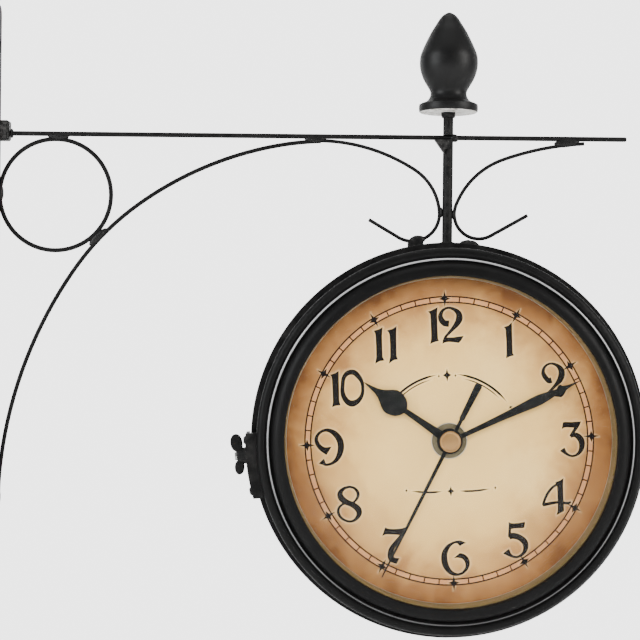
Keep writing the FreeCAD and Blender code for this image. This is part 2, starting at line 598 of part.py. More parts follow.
# ---------------------------------------------------------------- latch (side towards the wall)
strap = cyl_y(STRAP_OUT, -33.5, -14.0).cut(cyl_y(STRAP_IN, -27.5, 0)).cut(cyl_y(BEZEL_R, -40, 0))
strap = strap.common(box(-120, -80, -40, 0, -21.0, 12.0))
strap = strap.cut(box(-120, -80, STUD_Y, 0, -LATCH_STUD_R - 0.3, LATCH_STUD_R + 0.3))
strap = strap.cut(Part.makeCylinder(LATCH_STUD_R + 0.3, 60, V(-130, STUD_Y, 0), V(1, 0, 0)))
rivets = []
for z in (8.6, -17.4):
    a = math.atan2(z, 102.0)
    d = V(-math.cos(a), 0, math.sin(a))
    p0 = V(0, -30.4, 0) + d * BEZEL_R
    strap = strap.cut(Part.makeCylinder(1.3, 12, p0 - d * 2, d))
    riv = Part.makeCylinder(1.3, STRAP_OUT - BEZEL_R + 0.2, p0, d)
    cap = Part.makeCone(2.4, 1.4, 1.0, V(0, -30.4, 0) + d * (STRAP_OUT + 0.02), d)
    riv = riv.cut(cyl_y(BEZEL_R, -40, 0)).fuse(cap)
    riv = riv.cut(cyl_y(STRAP_OUT, -40, 0).cut(Part.makeCylinder(1.3, 200, V(0, -30.4, 0), d)))
    rivets.append(max(clean(riv).Solids, key=lambda s: s.Volume))
strap = max(clean(strap).Solids, key=lambda s: s.Volume)
out("latch_strap", latch(strap))
out("strap_rivets", Part.makeCompound([latch(r) for r in rivets]))

stud = Part.makeCylinder(LATCH_STUD_R, 12.4, V(-DRUM_R - 0.3, STUD_Y, 0), V(-1, 0, 0))
stud = stud.fuse(Part.makeCylinder(3.6, 2.6, V(-DRUM_R + 0.2, STUD_Y, 0), V(-1, 0, 0)))
stud = stud.cut(cyl_y(DRUM_R, -40, 0))
stud = stud.fuse(Part.makeCylinder(1.6, 3.0, V(-DRUM_R + DRUM_T + 0.6, STUD_Y, 0), V(-1, 0, 0)))
stud = stud.fuse(Part.makeCylinder(2.4, 0.9, V(-DRUM_R + DRUM_T + 1.4, STUD_Y, 0), V(-1, 0, 0)).cut(
    cyl_y(300, -60, 60).cut(cyl_y(DRUM_R - DRUM_T, -61, 61))))
out("latch_stud", latch(clean(stud)))

hub = Part.makeCone(4.3, 3.5, NUT_OUT - NUT_IN, V(-NUT_IN, STUD_Y, 0), V(-1, 0, 0))
# cast wing, outline in (outward, up)
WING = [(104.9, 0.4), (105.0, 2.2), (105.35, 4.2), (105.3, 6.6), (105.7, 8.8), (106.7, 10.5), (108.2, 11.3),
        (109.8, 11.0), (111.0, 9.6), (111.5, 7.4), (111.2, 5.1), (110.3, 3.4), (109.0, 2.3), (108.2, 0.4)]
wings = None
for sgn in (1, -1):
    ka, kb = (1.0, 1.0) if sgn > 0 else (0.8, 0.84)
    vs = [V(-(104.9 + (a - 104.9) * ka), STUD_Y - 1.7, sgn * b * kb) for a, b in WING]
    bs = Part.BSplineCurve()
    bs.interpolate(vs)
    w = Part.Face(Part.Wire([bs.toShape(), Part.LineSegment(vs[-1], vs[0]).toShape()])).extrude(V(0, 3.4, 0))
    w = w.makeFillet(0.7, [e for e in w.Edges if e.BoundBox.YLength < 0.01 and e.Length > 12])
    wings = w if wings is None else wings.fuse(w)
wn = hub.fuse(wings).cut(Part.makeCylinder(LATCH_STUD_R + RUN, 40, V(-90, STUD_Y, 0), V(-1, 0, 0)))
out("wing_nut", latch(clean(wn)))
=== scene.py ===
import bpy
import bmesh
import math
import numpy as np
from mathutils import Vector, Matrix, noise
from mathutils.geometry import tessellate_polygon


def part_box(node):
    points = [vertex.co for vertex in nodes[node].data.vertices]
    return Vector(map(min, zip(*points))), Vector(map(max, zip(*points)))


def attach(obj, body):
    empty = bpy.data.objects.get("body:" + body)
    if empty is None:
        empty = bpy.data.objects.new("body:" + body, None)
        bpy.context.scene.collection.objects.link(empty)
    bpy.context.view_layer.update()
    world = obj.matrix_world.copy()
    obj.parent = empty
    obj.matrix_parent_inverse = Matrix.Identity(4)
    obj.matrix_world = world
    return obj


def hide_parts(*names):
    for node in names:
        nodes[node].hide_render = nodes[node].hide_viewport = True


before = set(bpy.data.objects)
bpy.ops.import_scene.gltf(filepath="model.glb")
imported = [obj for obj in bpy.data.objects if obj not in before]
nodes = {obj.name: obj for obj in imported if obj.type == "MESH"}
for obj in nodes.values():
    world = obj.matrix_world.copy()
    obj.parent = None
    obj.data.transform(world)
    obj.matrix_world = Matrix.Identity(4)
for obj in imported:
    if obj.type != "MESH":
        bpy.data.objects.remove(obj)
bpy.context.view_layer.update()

scene = bpy.context.scene
MM = 0.001

# the head's centre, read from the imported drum
dlo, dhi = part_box("case_drum")
HX = (dlo[0] + dhi[0]) / 2
HZ = (dlo[2] + dhi[2]) / 2
flo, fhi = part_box("front_dial")
DIAL_Y = flo[1]                      # front surface of the front dial


# ------------------------------------------------------------------ node helpers
def new_mat(name):
    m = bpy.data.materials.new(name)
    m.use_nodes = True
    nt = m.node_tree
    return m, nt, nt.nodes["Principled BSDF"]


def node(nt, kind, **kw):
    n = nt.nodes.new(kind)
    for k, v in kw.items():
        setattr(n, k, v)
    return n


def link(nt, a, b):
    nt.links.new(a, b)


def coords(nt):
    return node(nt, "ShaderNodeTexCoord").outputs["Object"]


def tex(nt, vec, scale, detail=4.0, rough=0.55, dist=0.0):
    n = node(nt, "ShaderNodeTexNoise")
    n.inputs["Scale"].default_value = scale
    n.inputs["Detail"].default_value = detail
    n.inputs["Roughness"].default_value = rough
    n.inputs["Distortion"].default_value = dist
    link(nt, vec, n.inputs["Vector"])
    return n.outputs["Fac"]


def ramp(nt, fac, stops, interp="LINEAR"):
    n = node(nt, "ShaderNodeValToRGB")
    n.color_ramp.interpolation = interp
    els = n.color_ramp.elements
    while len(els) < len(stops):
        els.new(0.5)
    for e, (p, c) in zip(els, stops):
        e.position = p
        e.color = c if len(c) == 4 else (*c, 1.0)
    link(nt, fac, n.inputs["Fac"])
    return n.outputs["Color"]


def grey(v):
    return (v, v, v, 1.0)


def maprange(nt, val, a, b, c, d, smooth=False):
    n = node(nt, "ShaderNodeMapRange")
    if smooth:
        n.interpolation_type = "SMOOTHSTEP"
    n.inputs["From Min"].default_value = a
    n.inputs["From Max"].default_value = b
    n.inputs["To Min"].default_value = c
    n.inputs["To Max"].default_value = d
    link(nt, val, n.inputs["Value"])
    return n.outputs["Result"]


def math_node(nt, op, a, b=None):
    n = node(nt, "ShaderNodeMath", operation=op)
    for i, v in enumerate((a, b)):
        if v is None:
            continue
        if isinstance(v, (int, float)):
            n.inputs[i].default_value = v
        else:
            link(nt, v, n.inputs[i])
    return n.outputs[0]


def mix(nt, fac, a, b, blend="MIX"):
    n = node(nt, "ShaderNodeMix", data_type="RGBA", blend_type=blend)
    n.clamp_factor = True
    for sock, v in ((n.inputs[0], fac), (n.inputs[6], a), (n.inputs[7], b)):
        if isinstance(v, (int, float)):
            sock.default_value = v
        elif isinstance(v, tuple):
            sock.default_value = v if len(v) == 4 else (*v, 1.0)
        else:
            link(nt, v, sock)
    return n.outputs[2]


def bump(nt, bsdf, heights):
    """heights: list of (socket, strength, distance in metres)."""
    prev = None
    for h, s, d in heights:
        b = node(nt, "ShaderNodeBump")
        b.inputs["Strength"].default_value = s
        b.inputs["Distance"].default_value = d
        link(nt, h, b.inputs["Height"])
        if prev is not None:
            link(nt, prev, b.inputs["Normal"])
        prev = b.outputs["Normal"]
    link(nt, prev, bsdf.inputs["Normal"])


def black_metal(name, lo=0.006, hi=0.020, rough=(0.30, 0.52), lump=0.35, lump_scale=420.0, wear=0.25, dust=0.3,
                peel=0.12, spec=0.20, ridge=None, foot=None):
    """Black lacquer on iron or sheet: mottled tone, worn high spots, faint dust on top, orange peel."""
    m, nt, p = new_mat(name)
    co = coords(nt)
    big = tex(nt, co, 60.0, 5.0, 0.6)
    mid = tex(nt, co, lump_scale, 4.0, 0.6)
    fine = tex(nt, co, 2600.0, 3.0, 0.6)
    speck = tex(nt, co, 1100.0, 6.0, 0.75)
    base = ramp(nt, big, [(0.3, grey(lo)), (0.75, (hi, hi * 0.985, hi * 0.97, 1.0))])
    # worn spots: a little paler and browner where fine and large noise meet
    spots = math_node(nt, "MULTIPLY", maprange(nt, speck, 0.60, 0.74, 0.0, 1.0), maprange(nt, big, 0.45, 0.7, 0.0, 1.0))
    base = mix(nt, math_node(nt, "MULTIPLY", spots, wear), base, (0.030, 0.027, 0.024))
    geo = node(nt, "ShaderNodeNewGeometry")
    pt = maprange(nt, geo.outputs["Pointiness"], 0.53, 0.62, 0.0, 1.0)
    edge = math_node(nt, "MULTIPLY", pt, maprange(nt, mid, 0.42, 0.66, 0.0, 1.0))
    base = mix(nt, math_node(nt, "MULTIPLY", edge, wear * 1.6), base, (0.045, 0.043, 0.041))
    up = node(nt, "ShaderNodeSeparateXYZ")
    link(nt, geo.outputs["Normal"], up.inputs[0])
    top = math_node(nt, "MULTIPLY", maprange(nt, up.outputs["Z"], 0.45, 1.0, 0.0, 1.0),
                    maprange(nt, mid, 0.35, 0.75, 0.2, 1.0))
    base = mix(nt, math_node(nt, "MULTIPLY", top, dust * 0.35), base, (0.040, 0.038, 0.035))
    r = maprange(nt, mid, 0.25, 0.8, rough[0], rough[1])
    r = math_node(nt, "ADD", r, math_node(nt, "MULTIPLY", top, 0.12))
    if ridge is not None:
        # painted highlight on the crest: a pale, metallic, glossier band of that radius (metres) about the head's axis,
        # standing in for the light the ridge catches
        sep = node(nt, "ShaderNodeSeparateXYZ")
        link(nt, co, sep.inputs[0])
        dx = math_node(nt, "SUBTRACT", sep.outputs["X"], HX)
        dz = math_node(nt, "SUBTRACT", sep.outputs["Z"], HZ)
        rr = math_node(nt, "SQRT", math_node(nt, "ADD", math_node(nt, "MULTIPLY", dx, dx),
                                             math_node(nt, "MULTIPLY", dz, dz)))
        off = math_node(nt, "ABSOLUTE", math_node(nt, "SUBTRACT", rr, ridge[0]))
        painted_crest_highlight = maprange(nt, off, ridge[1] * 0.5, ridge[1], 1.0, 0.0)
        painted_crest_highlight = math_node(nt, "MULTIPLY", painted_crest_highlight, maprange(nt, speck, 0.30, 0.55, 0.75, 1.0))
        # painted highlight, brightest at the top and faint below, as if the crest were lit from above
        painted_crest_highlight = math_node(nt, "MULTIPLY", painted_crest_highlight, maprange(nt, dz, -0.085, 0.088, 0.16, 1.0, True))
        painted_crest_highlight = math_node(nt, "MULTIPLY", painted_crest_highlight, maprange(nt, big, 0.35, 0.65, 0.70, 1.0))
        # painted highlight: the pale colour laid into the base along the crest
        base = mix(nt, painted_crest_highlight, base, (0.70, 0.70, 0.71))
        link(nt, math_node(nt, "MULTIPLY", painted_crest_highlight, 0.80), p.inputs["Metallic"])
        r = math_node(nt, "SUBTRACT", r, math_node(nt, "MULTIPLY", painted_crest_highlight, 0.16))
    if foot is not None:
        # the underside was never painted: pale casting with smears of glue
        sz = node(nt, "ShaderNodeSeparateXYZ")
        link(nt, co, sz.inputs[0])
        under = math_node(nt, "MULTIPLY", maprange(nt, sz.outputs["Z"], foot + 0.00012, foot + 0.00030, 1.0, 0.0),
                          maprange(nt, up.outputs["Z"], -0.35, -0.75, 0.0, 1.0))
        smear = ramp(nt, tex(nt, co, 240.0, 5.0, 0.65, 0.8), [(0.36, (0.16, 0.15, 0.13)), (0.46, (0.62, 0.60, 0.55)),
                                                             (0.60, (0.80, 0.79, 0.76))])
        base = mix(nt, under, base, smear)
    link(nt, base, p.inputs["Base Color"])
    link(nt, r, p.inputs["Roughness"])
    p.inputs["Specular IOR Level"].default_value = spec
    bump(nt, p, [(mid, lump, 0.00025), (speck, 0.25 * min(1.0, lump / 0.4), 0.00006), (fine, peel, 0.00004)])
    return m


def bare_metal(name, lo, hi, rough=(0.25, 0.45), scale=900.0, spun=None, metallic=1.0, stain=0.3,
               stain_col=(0.10, 0.075, 0.045)):
    m, nt, p = new_mat(name)
    co = coords(nt)
    a = tex(nt, co, scale * 0.12, 5.0, 0.6)
    b = tex(nt, co, scale, 4.0, 0.65)
    col = ramp(nt, a, [(0.3, lo), (0.7, hi)])
    st = math_node(nt, "MULTIPLY", maprange(nt, b, 0.52, 0.72, 0.0, 1.0), stain)
    col = mix(nt, st, col, stain_col)
    link(nt, col, p.inputs["Base Color"])
    link(nt, maprange(nt, b, 0.25, 0.75, rough[0], rough[1]), p.inputs["Roughness"])
    p.inputs["Metallic"].default_value = metallic
    h = [(b, 0.15, 0.00004)]
    if spun is not None:
        # fine rings of a spun or turned face about a centre (x, z)
        sep = node(nt, "ShaderNodeSeparateXYZ")
        link(nt, co, sep.inputs[0])
        dx = math_node(nt, "SUBTRACT", sep.outputs["X"], spun[0])
        dz = math_node(nt, "SUBTRACT", sep.outputs["Z"], spun[1])
        rr = math_node(nt, "SQRT", math_node(nt, "ADD", math_node(nt, "MULTIPLY", dx, dx),
                                             math_node(nt, "MULTIPLY", dz, dz)))
        s = math_node(nt, "SINE", math_node(nt, "MULTIPLY", rr, spun[2]))
        h.append((s, spun[3], 0.00003))
    bump(nt, p, h)
    return m


def plastic(name, col, var=0.25, rough=(0.42, 0.6), grain=1800.0):
    m, nt, p = new_mat(name)
    co = coords(nt)
    a = tex(nt, co, 90.0, 4.0, 0.6)
    b = tex(nt, co, grain, 2.0, 0.5)
    c0 = tuple(x * (1 - var) for x in col)
    c1 = tuple(min(1.0, x * (1 + var * 0.5)) for x in col)
    link(nt, ramp(nt, a, [(0.3, c0), (0.7, c1)]), p.inputs["Base Color"])
    link(nt, maprange(nt, b, 0.3, 0.7, rough[0], rough[1]), p.inputs["Roughness"])
    bump(nt, p, [(b, 0.25, 0.00006)])
    return m


def dial_material(name, front=True):
    """Aged parchment print: pale middle, burnt orange rim, soft stains, pale halo round the numerals."""
    m, nt, p = new_mat(name)
    co = coords(nt)
    sep = node(nt, "ShaderNodeSeparateXYZ")
    link(nt, co, sep.inputs[0])
    # dial coordinates in mm: u to the right, v up, as seen by whoever faces the dial
    sgn = 1.0 if front else -1.0
    u = math_node(nt, "MULTIPLY", math_node(nt, "SUBTRACT", sep.outputs["X"], HX), 1000.0 * sgn)
    v = math_node(nt, "MULTIPLY", math_node(nt, "SUBTRACT", sep.outputs["Z"], HZ), 1000.0)
    comb = node(nt, "ShaderNodeCombineXYZ")
    link(nt, u, comb.inputs[0])
    link(nt, v, comb.inputs[1])
    uv = comb.outputs[0]
    soft = tex(nt, uv, 0.045, 5.0, 0.55, 0.6)
    cloud = tex(nt, uv, 0.11, 6.0, 0.6, 0.4)
    fibre = tex(nt, uv, 1.2, 6.0, 0.7)
    fleck = tex(nt, uv, 2.6, 2.0, 0.6)
    r2 = math_node(nt, "ADD", math_node(nt, "MULTIPLY", u, u), math_node(nt, "MULTIPLY", v, v))
    rad = math_node(nt, "SQRT", r2)
    wob = math_node(nt, "ADD", rad, maprange(nt, soft, 0.25, 0.75, -9.0, 9.0))
    wob = math_node(nt, "ADD", wob, maprange(nt, cloud, 0.3, 0.7, -3.0, 3.0))
    t = maprange(nt, wob, 0.0, 86.0, 0.0, 1.0)
    col = ramp(nt, t, [(0.0, (0.690, 0.455, 0.152)), (0.34, (0.670, 0.435, 0.140)), (0.55, (0.600, 0.375, 0.114)),
                       (0.71, (0.450, 0.255, 0.076)), (0.83, (0.285, 0.140, 0.042)), (0.93, (0.190, 0.080, 0.022)),
                       (1.0, (0.110, 0.040, 0.010))])

    def blotch(cu, cv, size, colr, amount):
        du = math_node(nt, "SUBTRACT", u, cu)
        dv = math_node(nt, "SUBTRACT", v, cv)
        d = math_node(nt, "SQRT", math_node(nt, "ADD", math_node(nt, "MULTIPLY", du, du),
                                            math_node(nt, "MULTIPLY", dv, dv)))
        d = math_node(nt, "ADD", d, maprange(nt, cloud, 0.25, 0.75, -6.0, 6.0))
        return maprange(nt, d, 0.0, size, amount, 0.0, True), colr

    for b in ((-52.0, 48.0, 30.0, (0.300, 0.130, 0.040), 0.15), (-74.0, -30.0, 26.0, (0.150, 0.055, 0.014), 0.46),
              (72.0, -34.0, 30.0, (0.160, 0.060, 0.016), 0.46), (-10.0, 78.0, 26.0, (0.230, 0.095, 0.028), 0.45),
              (34.0, -70.0, 26.0, (0.250, 0.105, 0.030), 0.40), (-40.0, -46.0, 24.0, (0.400, 0.225, 0.072), 0.30),
              (40.0, -16.0, 22.0, (0.710, 0.500, 0.195), 0.40), (22.0, 40.0, 22.0, (0.700, 0.485, 0.185), 0.35),
              (-30.0, 22.0, 22.0, (0.680, 0.460, 0.170), 0.28), (60.0, 52.0, 24.0, (0.240, 0.100, 0.030), 0.35),
              (-50.0, -29.0, 13.0, (0.150, 0.062, 0.018), 0.28), (41.0, -44.0, 12.0, (0.170, 0.072, 0.022), 0.38)):
        f, c = blotch(*b)
        col = mix(nt, f, col, c)
    # paler band of the minute track
    track = math_node(nt, "MULTIPLY", maprange(nt, rad, 70.4, 70.7, 0.0, 1.0), maprange(nt, rad, 73.0, 73.3, 1.0, 0.0))
    col = mix(nt, math_node(nt, "MULTIPLY", track, 0.60), col, (0.520, 0.235, 0.095))
    # paper fibre and foxing
    col = mix(nt, maprange(nt, fibre, 0.35, 0.8, 0.0, 0.20), col, (0.240, 0.120, 0.040))
    col = mix(nt, maprange(nt, fleck, 0.66, 0.80, 0.0, 0.25), col, (0.110, 0.045, 0.015))
    halo = node(nt, "ShaderNodeAttribute")
    halo.attribute_name = "halo"
    col = mix(nt, math_node(nt, "MULTIPLY", halo.outputs["Fac"], 0.32), col, (0.820, 0.610, 0.290))
    link(nt, col, p.inputs["Base Color"])
    link(nt, maprange(nt, fibre, 0.3, 0.7, 0.52, 0.68), p.inputs["Roughness"])
    p.inputs["Specular IOR Level"].default_value = 0.12
    bump(nt, p, [(fibre, 0.10, 0.00004)])
    return m


def ink_material(name, col=(0.0030, 0.0020, 0.0016)):
    m, nt, p = new_mat(name)
    co = coords(nt)
    a = tex(nt, co, 700.0, 5.0, 0.6)
    link(nt, ramp(nt, a, [(0.3, col), (0.75, tuple(c * 2.1 for c in col))]), p.inputs["Base Color"])
    link(nt, maprange(nt, a, 0.3, 0.7, 0.48, 0.62), p.inputs["Roughness"])
    p.inputs["Specular IOR Level"].default_value = 0.10
    bump(nt, p, [(a, 0.08, 0.00003)])
    return m


def glass_material():
    m, nt, p = new_mat("clear_glass")
    co = coords(nt)
    a = tex(nt, co, 35.0, 3.0, 0.5)
    link(nt, ramp(nt, a, [(0.3, (0.030, 0.036, 0.034)), (0.7, (0.042, 0.050, 0.047))]), p.inputs["Base Color"])
    link(nt, maprange(nt, a, 0.3, 0.7, 0.02, 0.05), p.inputs["Roughness"])
    p.inputs["Alpha"].default_value = 0.035
    p.inputs["IOR"].default_value = 1.5
    p.inputs["Specular IOR Level"].default_value = 1.0
    return m


# ------------------------------------------------------------------ materials
MAT = {}
MAT["wire"] = black_metal("wire_black", 0.0015, 0.0035, (0.48, 0.60), 0.07, 330.0, 0.08, 0.2, 0.02, 0.11)
MAT["plate"] = black_metal("plate_black", 0.0016, 0.0042, (0.42, 0.58), 0.34, 300.0, 0.20, 0.3, 0.10, 0.14)
MAT["case"] = black_metal("case_black", 0.0014, 0.0028, (0.44, 0.56), 0.08, 160.0, 0.12, 0.2, 0.10, 0.10)
MAT["bezel"] = black_metal("bezel_black", 0.0016, 0.0030, (0.42, 0.52), 0.05, 200.0, 0.12, 0.15, 0.08, 0.10,
                           (0.09200, 0.00050))
MAT["finial"] = black_metal("finial_black", 0.0016, 0.0034, (0.40, 0.48), 0.06, 260.0, 0.12, 0.25, 0.05, 0.18, None,
                            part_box("finial")[0][2])
MAT["weld"] = black_metal("weld_black", 0.0020, 0.0060, (0.36, 0.54), 0.80, 620.0, 0.30, 0.3, 0.12, 0.18)
MAT["steel"] = bare_metal("plated_steel", (0.36, 0.36, 0.35), (0.52, 0.52, 0.51), (0.28, 0.48), 1200.0, None, 1.0, 0.25)
MAT["ring"] = bare_metal("brass_ring", (0.15, 0.115, 0.045), (0.23, 0.180, 0.075), (0.40, 0.54), 700.0,
                         (HX, HZ, 9000.0, 0.04), 0.50, 0.35, (0.06, 0.045, 0.020))
MAT["washer"] = bare_metal("washer_metal", (0.085, 0.068, 0.034), (0.14, 0.115, 0.062), (0.40, 0.55), 1400.0,
                           (HX, HZ, 16000.0, 0.10), 0.40, 0.50, (0.07, 0.055, 0.030))
MAT["nut"] = bare_metal("nut_metal", (0.30, 0.25, 0.15), (0.42, 0.35, 0.22), (0.3, 0.45), 1400.0, None, 1.0, 0.3)
MAT["brass"] = bare_metal("brass_part", (0.46, 0.33, 0.16), (0.60, 0.44, 0.23), (0.25, 0.4), 1200.0, None, 1.0, 0.2)
MAT["cap"] = bare_metal("cap_brass", (0.27, 0.145, 0.048), (0.36, 0.200, 0.072), (0.30, 0.44), 1500.0,
                        (HX, HZ, 24000.0, 0.10), 0.65, 0.15, (0.20, 0.10, 0.035))
MAT["hand"] = black_metal("hand_black", 0.0020, 0.0045, (0.42, 0.55), 0.05, 400.0, 0.12, 0.0, 0.06, 0.12)
MAT["dial_f"] = dial_material("dial_print_front", True)
MAT["dial_r"] = dial_material("dial_print_rear", False)
MAT["tin"] = bare_metal("dial_tin", (0.45, 0.43, 0.38), (0.60, 0.57, 0.50), (0.35, 0.5), 600.0, None, 0.8, 0.3)
MAT["ink"] = ink_material("dial_ink")
MAT["ink_brown"] = ink_material("dial_ink_brown", (0.0042, 0.0022, 0.0016))
MAT["glass"] = glass_material()
MAT["plastic"] = plastic("black_plastic", (0.022, 0.022, 0.023))
MAT["white"] = plastic("white_plastic", (0.72, 0.72, 0.69), 0.08, (0.35, 0.5))
MAT["sleeve"] = plastic("battery_sleeve", (0.05, 0.09, 0.065), 0.3, (0.22, 0.34))
MAT["board"] = plastic("coil_board", (0.24, 0.10, 0.035), 0.4, (0.3, 0.5), 2600.0)

BY_NODE = {
    "wall_bar": "plate", "bar_socket": "weld", "horizontal_bar": "wire", "arch_brace": "wire", "corner_ring": "wire",
    "left_scroll": "wire", "right_scroll": "wire", "hanger_post": "wire", "post_gusset": "plate",
    "weld_beads": "weld", "finial": "finial", "finial_nut": "plate", "case_drum": "case", "case_saddle": "plate",
    "case_leaf": "plate", "door_leaf": "plate", "hinge_pin": "steel", "latch_stud": "steel", "latch_strap": "case",
    "strap_rivets": "plate", "wing_nut": "plate", "bezel": "bezel", "glass": "glass", "inner_ring": "ring",
    "dial": "tin", "retaining_ring": "case", "movement_housing": "plastic", "movement_cover": "plastic",
    "battery": "sleeve", "step_motor": "board", "dial_washer": "washer", "mounting_nut": "nut", "hour_hand": "hand",
    "minute_hand": "hand", "second_hand": "hand", "hour_wheel": "white", "cannon_pinion": "brass",
    "second_arbor": "steel", "motion_wheel": "white", "setting_knob": "white"}
for name, ob in nodes.items():
    short = name.replace("front_", "").replace("rear_", "")
    ob.data.materials.clear()
    ob.data.materials.append(MAT[BY_NODE[short]])
    for poly in ob.data.polygons:
        poly.use_smooth = True
    ob.data.set_sharp_from_angle(angle=math.radians(32))


# ------------------------------------------------------------------ mesh helpers
def add_mesh(name, verts, faces, mat, body, smooth=True, angle=40):
    me = bpy.data.meshes.new(name)
    me.from_pydata([tuple(v) for v in verts], [], faces)
    me.update()
    me.materials.append(mat)
    if smooth:
        for poly in me.polygons:
            poly.use_smooth = True
        me.set_sharp_from_angle(angle=math.radians(angle))
    ob = bpy.data.objects.new(name, me)
    scene.collection.objects.link(ob)
    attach(ob, body)
    return ob


def catmull(pts, per=10, closed=False):
    P = np.array(pts, float)
    n = len(P)
    out = []
    segs = n if closed else n - 1
    for i in range(segs):
        if closed:
            p0, p1, p2, p3 = P[(i - 1) % n], P[i], P[(i + 1) % n], P[(i + 2) % n]
        else:
            p1, p2 = P[i], P[i + 1]
            p0 = P[i - 1] if i > 0 else 2 * p1 - p2
            p3 = P[i + 2] if i + 2 < n else 2 * p2 - p1
        for k in range(per):
            t = k / per
            out.append(0.5 * ((2 * p1) + (-p0 + p2) * t + (2 * p0 - 5 * p1 + 4 * p2 - p3) * t * t +
                              (-p0 + 3 * p1 - 3 * p2 + p3) * t ** 3))
    if not closed:
        out.append(P[-1])
    return np.array(out)


